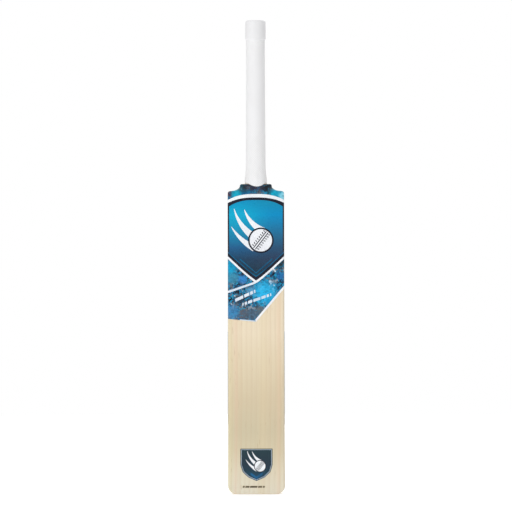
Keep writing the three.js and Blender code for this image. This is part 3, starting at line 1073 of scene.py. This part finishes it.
def v_line(above):
    """Curve of the panel's V, this far above its point."""
    return arch(V_POINT + above, -V_RISE, 1.12)


def sticker_films():
    """Shoulders, panel and camouflage."""
    arc = arch(ARC_TOP - 3.2, 10.6)
    point = v_line(0)
    loops = [shoulder_loop(arc), between(point, arc), lower_loop(point)]
    for name, loop in zip(("shoulders", "panel", "camouflage"), loops):
        plate(f"print_{name}", [loop], FILM_LOW, FILM, name, "face_sticker")


def sticker_bands():
    """Lines across the sticker, above and below the panel."""
    bands = [
        ("arc_white", arch(ARC_TOP - 6.4, 10.2), arch(ARC_TOP, 11.2), "white"),
        ("arc_dark", arch(540, 13.8, 2.8), arch(ARC_TOP - 6.3, 10.2), "navy"),
        ("v_white", v_line(-2.4), v_line(2.4), "white"),
        ("v_dark", v_line(2.3), v_line(8.4), "navy"),
        ("v_teal", v_line(9), v_line(10.9), "teal"),
    ]
    for name, lower, upper, ink in bands:
        overprint(f"print_{name}", [between(lower, upper)], ink, "face_sticker")


def face_sticker():
    """The films, with the printed lines, bars and emblem over them, and navy strips of painted
    shade along the panel's sides.
    """
    sticker = "face_sticker"
    sticker_films()
    sticker_bands()
    reach = sticker_reach(400)
    low = V_POINT - 3 - STRIPE_SLOPE * reach
    stripe = [(-reach, low), (-1, V_POINT - 3.4), (-1, V_POINT + 0.6), (-reach, low + 4)]
    overprint("print_stripe", [stripe], "pale", sticker, sunk=0.02)
    corner = (reach, slant(reach))
    border = [(-1, STICKER_BOTTOM), (0, STICKER_BOTTOM), corner, (reach, slant(reach) + 5.6)]
    overprint("print_border", [[*border, (-1.4, STICKER_BOTTOM + 4)]], "white", sticker)
    lip = [(-30, slant(-30)), (-1.6, slant(-1.6)), (-1.6, slant(-1.6) + 2), (-30, slant(-30) + 1.4)]
    overprint("print_lip", [lip], "pale", sticker)
    # Painted shade: navy strips along the panel's sides, next to the rims.
    column = sticker_side(V_POINT + V_RISE + 4, 530)
    loop = concatenate([column, column[::-1] - (PANEL_SHADE_WIDTH, 0)])
    sides = [loop * (-1, 1), loop]
    overprint("painted_shade_sides", sides, "navy", sticker, sunk=0.02)
    rows = slanted_bars((-38, 353), (-1, 370), 5.4, [15, 9, 5, 2.5], 2.2)
    rows += slanted_bars((-25, 346), (28, 364), 4.8, [2.5, 5, 9, 15, 9, 5, 2.5], 2.2)
    overprint("print_bars", rows, "pale", sticker)
    overprint("print_chevron", [chevron(0, 405, 30, 25.8, 2.4)], "teal", sticker)
    emblem("emblem", sticker, *EMBLEM)


# ---- the smaller stickers


def outlined(name, loop, cad_node, base, line, place=front_place, margin=0.1, thick=1.2):
    """A film with a line printed just inside its edge."""
    plate(f"{name}_film", [loop], FILM_LOW, FILM, base, cad_node, place)
    frame_line = [inset(loop, margin), inset(loop, margin + thick)]
    overprint(f"{name}_outline", frame_line, line, cad_node, place)


BADGE_RIGHT = [(0, 24.4), (15, 31), (25.5, 41), (29.4, 54), (29.4, 83.5)]


def toe_badge():
    shape = BADGE_RIGHT + [(-x, z) for x, z in reversed(BADGE_RIGHT[1:])]
    outlined("badge", shape, "toe_badge", "badge", "pale", margin=1.5, thick=0.6)
    overprint("badge_chevron", [chevron(0, 28, 11, 7.7, 4.5)], "blue", "toe_badge")
    emblem("badge_emblem", "toe_badge", 6.5, 51.5, 0.48)


def toe_label():
    """A clear label with a row of dark bars."""
    loop = [(-27, 11.8), (17, 11.8), (17, 16.6), (-27, 16.6)]
    plate("label_film", [loop], FILM_LOW, FILM - 0.1, "clear", "toe_label")
    bars = slanted_bars((-25.8, 12.0), (14.6, 12.0), 3.4, [3, 6, 11, 6, 3], 1.2)
    plate("label_bars", bars, FILM - 0.14, FILM, "faded", "toe_label")


BACK_LOW, BACK_HIGH = 262, 398


def back_sticker():
    """A pentagon with three chevrons and the emblem."""
    node = "back_sticker"
    half, bottom, side, top = 36, BACK_LOW, 292, BACK_HIGH
    shape = [(0, bottom), (half, side), (half, top), (-half, top), (-half, side)]
    outlined("back", shape, node, "panel_back", "white", back_place)
    reach = half - 7
    for i, ink in enumerate(("white", "blue", "pale")):
        loop = chevron(0, bottom + 8 + 11 * i, reach, (side - bottom) * reach / half, 5 - i)
        overprint(f"back_chevron_{i}", [loop], ink, node, back_place)
    emblem("back_emblem", node, 6, 344, 0.62, back_place)


EDGE_LOW, EDGE_HIGH = 128, 298
EDGE_FRONT, EDGE_BACK = -18, -1


def edge_stickers():
    """A striped label along each side of the blade."""
    low, high = EDGE_LOW, EDGE_HIGH
    for name, side in (("left", -1), ("right", 1)):
        node = f"edge_sticker_{name}"
        place = edge_place(side)
        left, right = sorted((side * EDGE_FRONT, side * EDGE_BACK))
        loop = [(left, low), (right, low), (right, high), (left, high)]
        outlined(f"edge_{name}", loop, node, "edge", "white", place, 0.1, 1.1)
        near, far = left + 3.2, right - 3.2
        bars = []
        for z in arange(low + 12, high - 24, 13):
            bars.append([(near, z), (far, z + 9), (far, z + 14), (near, z + 5)])
        overprint(f"edge_{name}_bars", bars, "pale", node, place)


def build_inks():
    """Every printed material, by name."""
    panel_left = [
        (0.0, 6, 74, 100), (0.12, 24, 34, 50), (0.28, 26, 52, 82),
        (0.42, 30, 88, 134), (0.56, 22, 128, 168), (0.82, 6, 170, 206),
        (1.0, 4, 142, 190),
    ]
    panel_right = [
        (0.0, 10, 76, 100), (0.12, 30, 36, 54), (0.28, 42, 48, 76),
        (0.42, 38, 74, 108), (0.56, 34, 100, 138), (0.82, 0, 138, 192),
        (1.0, 16, 136, 172),
    ]
    shoulder_patches = [
        (-36, 552, 14, 4, 168, 196), (38, 552, 20, 8, 164, 196),
        (-20, 552, 10, 10, 94, 140), (-52, 551, 12, 70, 42, 62),
        (52, 546, 13, 144, 214, 232), (-24, 566, 17, 24, 58, 60),
        (-10, 566, 17, 34, 26, 44), (6, 566, 17, 58, 50, 62),
        (22, 566, 17, 32, 34, 34),
    ]
    badge_stops = [
        (0.0, 30, 62, 90), (0.3, 30, 48, 62), (0.42, 36, 46, 60),
        (1.0, 38, 62, 70),
    ]
    edge_stops = [(0.0, 28, 40, 66), (0.5, 26, 92, 148), (1.0, 24, 150, 200)]
    plain = {
        "white": ((240, 243, 246), (230, 232, 238)),
        "pale": ((226, 234, 243), (196, 212, 230)),
        "navy": ((30, 34, 50), (22, 26, 40)),
        "blue": ((30, 96, 142), (26, 76, 116)),
        "teal": ((10, 104, 146), (10, 76, 112)),
        "clear": ((230, 220, 196), (222, 211, 184)),
        "faded": ((84, 76, 60), (116, 106, 86)),
    }
    paints = {name: ink_paint(rgb(*one), rgb(*two)) for name, (one, two) in plain.items()}
    paints |= {
        "shoulders": camouflage_paint(shoulder_patches),
        "panel": sweep_paint(V_POINT, 540, panel_left, panel_right),
        "camouflage": camouflage_paint(CAMOUFLAGE_PATCHES),
        "badge": sweep_paint(24, 85, badge_stops, badge_stops),
        "panel_back": sweep_paint(BACK_LOW, BACK_HIGH, panel_right, panel_left),
        "edge": sweep_paint(EDGE_LOW, EDGE_HIGH, edge_stops, edge_stops),
    }
    return {name: vinyl_material(f"vinyl_{name}", paint) for name, paint in paints.items()}


# ---- floor, lights and camera


FLOOR_RADIUS = 3.0
FLOOR_GLOW = 0.28
CAMERA_DISTANCE = 6.0
CAMERA_HEIGHT = 0.4372
FRAME_HEIGHT = 0.944
CAMERA_ROLL = 0.14
# Name, place, size in metres and power in watts
LIGHTS = [
    ("key", (-1.7, -2.6, 2.3), 1.8, 45),
    ("side", (-3.0, -0.7, 1.0), 1.6, 6),
    ("fill", (2.2, -2.4, 1.0), 1.6, 12),
    ("back", (1.2, 2.8, 2.0), 1.8, 30),
    ("top", (0, 0.8, 3.4), 2.6, 28),
]


def build_floor():
    """A plain pale disc to stand on, which glows a little: painted light that fills the shadow
    under the bat and lights it from below.
    """
    angles = linspace(0, 2 * math.pi, 128, endpoint=False)
    mesh = bpy.data.meshes.new("floor")
    rim = [(FLOOR_RADIUS * math.cos(a), FLOOR_RADIUS * math.sin(a), 0) for a in angles]
    mesh.from_pydata(rim, [], [tuple(range(len(rim)))])
    made, shader, vector = new_material("floor", 0.9)[:3]
    paper = noise(vector, 60, 3)
    colour = mix(paper, rgb(247, 247, 247), rgb(252, 252, 252))
    rough = remap(paper, 0, 1, 0.85, 0.95)
    connect(shader, colour, rough, paper, 0.0001, 0.2)
    # Painted light: the floor glows, so the shadow under the bat is filled in.
    shader.inputs["Emission Color"].default_value = (1, 1, 1, 1)
    shader.inputs["Emission Strength"].default_value = FLOOR_GLOW
    mesh.materials.append(made)
    new_object("floor", mesh)


def build_world():
    """White to the camera, and a softer white light on the bat."""
    world = bpy.data.worlds.new("studio")
    bpy.context.scene.world = world
    world.use_nodes = True
    tree = world.node_tree
    tree.nodes.clear()
    seen = add("Background", {"Color": (1, 1, 1, 1), "Strength": 1.0}, tree)
    lit = add("Background", {"Color": (1, 1, 1, 1), "Strength": 0.5}, tree)
    direct = add("LightPath", tree=tree).outputs["Is Camera Ray"]
    both = add("MixShader", {0: direct, 1: lit.outputs[0], 2: seen.outputs[0]})
    add("OutputWorld", {"Surface": both.outputs[0]})


def build_light(name, place, size, power):
    """A square soft light aimed at the middle of the bat."""
    light = bpy.data.lights.new(name, "AREA")
    light.size = size
    light.energy = power
    made = new_object(name, light)
    made.location = place
    aim = Vector((0, 0, CAMERA_HEIGHT)) - Vector(place)
    made.rotation_euler = aim.to_track_quat("-Z", "Y").to_euler()


def build_camera():
    """Far off and level, straight in front of the face."""
    camera = bpy.data.cameras.new("camera")
    camera.sensor_width = 36
    camera.lens = 36 * CAMERA_DISTANCE / FRAME_HEIGHT
    camera.clip_end = 100
    made = new_object("camera", camera)
    made.location = (0, -CAMERA_DISTANCE, CAMERA_HEIGHT)
    made.rotation_euler = (math.pi / 2, math.radians(CAMERA_ROLL), 0)
    bpy.context.scene.camera = made


# ---- build


build_camera()
build_world()
build_floor()
for light in LIGHTS:
    build_light(*light)

build_blade(willow_material())
build_handle(cane_material(), rubber_material())
build_grip(grip_material())
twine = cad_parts["handle_twine"]
for slot in twine.material_slots:
    slot.material = twine_material()

INKS = build_inks()
face_sticker()
toe_badge()
toe_label()
back_sticker()
edge_stickers()

bpy.context.scene.view_settings.view_transform = "Standard"
